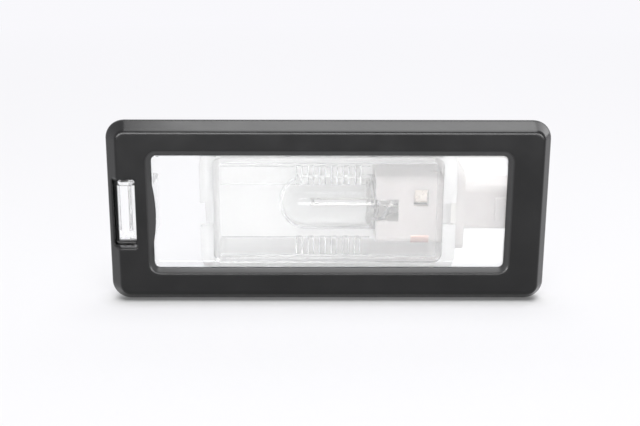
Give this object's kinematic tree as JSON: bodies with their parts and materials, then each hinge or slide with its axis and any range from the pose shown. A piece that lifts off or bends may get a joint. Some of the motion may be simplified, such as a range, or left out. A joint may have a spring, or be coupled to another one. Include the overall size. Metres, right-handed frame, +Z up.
{
  "type": "number plate lamp",
  "caption": "Rectangular number plate lamp: clear lens in a black rubber frame, white tub with a capless bulb behind, spring latch and hooks for a panel, plug socket at one end.",
  "frame": {"origin": "centre of the rubber frame's flat seat, where it lies on the car's panel", "axes": "+X along the lamp from the release slot to the plug, +Y into the panel, +Z up; the lens faces -Y"},
  "size_m": [0.076, 0.02, 0.032],
  "materials": {
    "black_rubber": "matt",
    "clear_lens": "clear, polished",
    "white_plastic": "satin",
    "pale_plastic": "satin",
    "seal_rubber": "natural silicone, matt",
    "bronze": "tinned spring bronze",
    "bulb_glass": "clear",
    "tungsten": "drawn",
    "lead_wire": "drawn"
  },
  "bodies": {
    "root": {"gasket": "black_rubber", "lens": "clear_lens", "housing": "white_plastic", "bulb_holder": "pale_plastic", "holder_seal": "seal_rubber", "contact_upper": "bronze", "contact_lower": "bronze", "bulb_glass": "bulb_glass", "bulb_filament": "tungsten", "bulb_wire_upper": "lead_wire", "bulb_wire_lower": "lead_wire"}
  },
  "joints": []
}
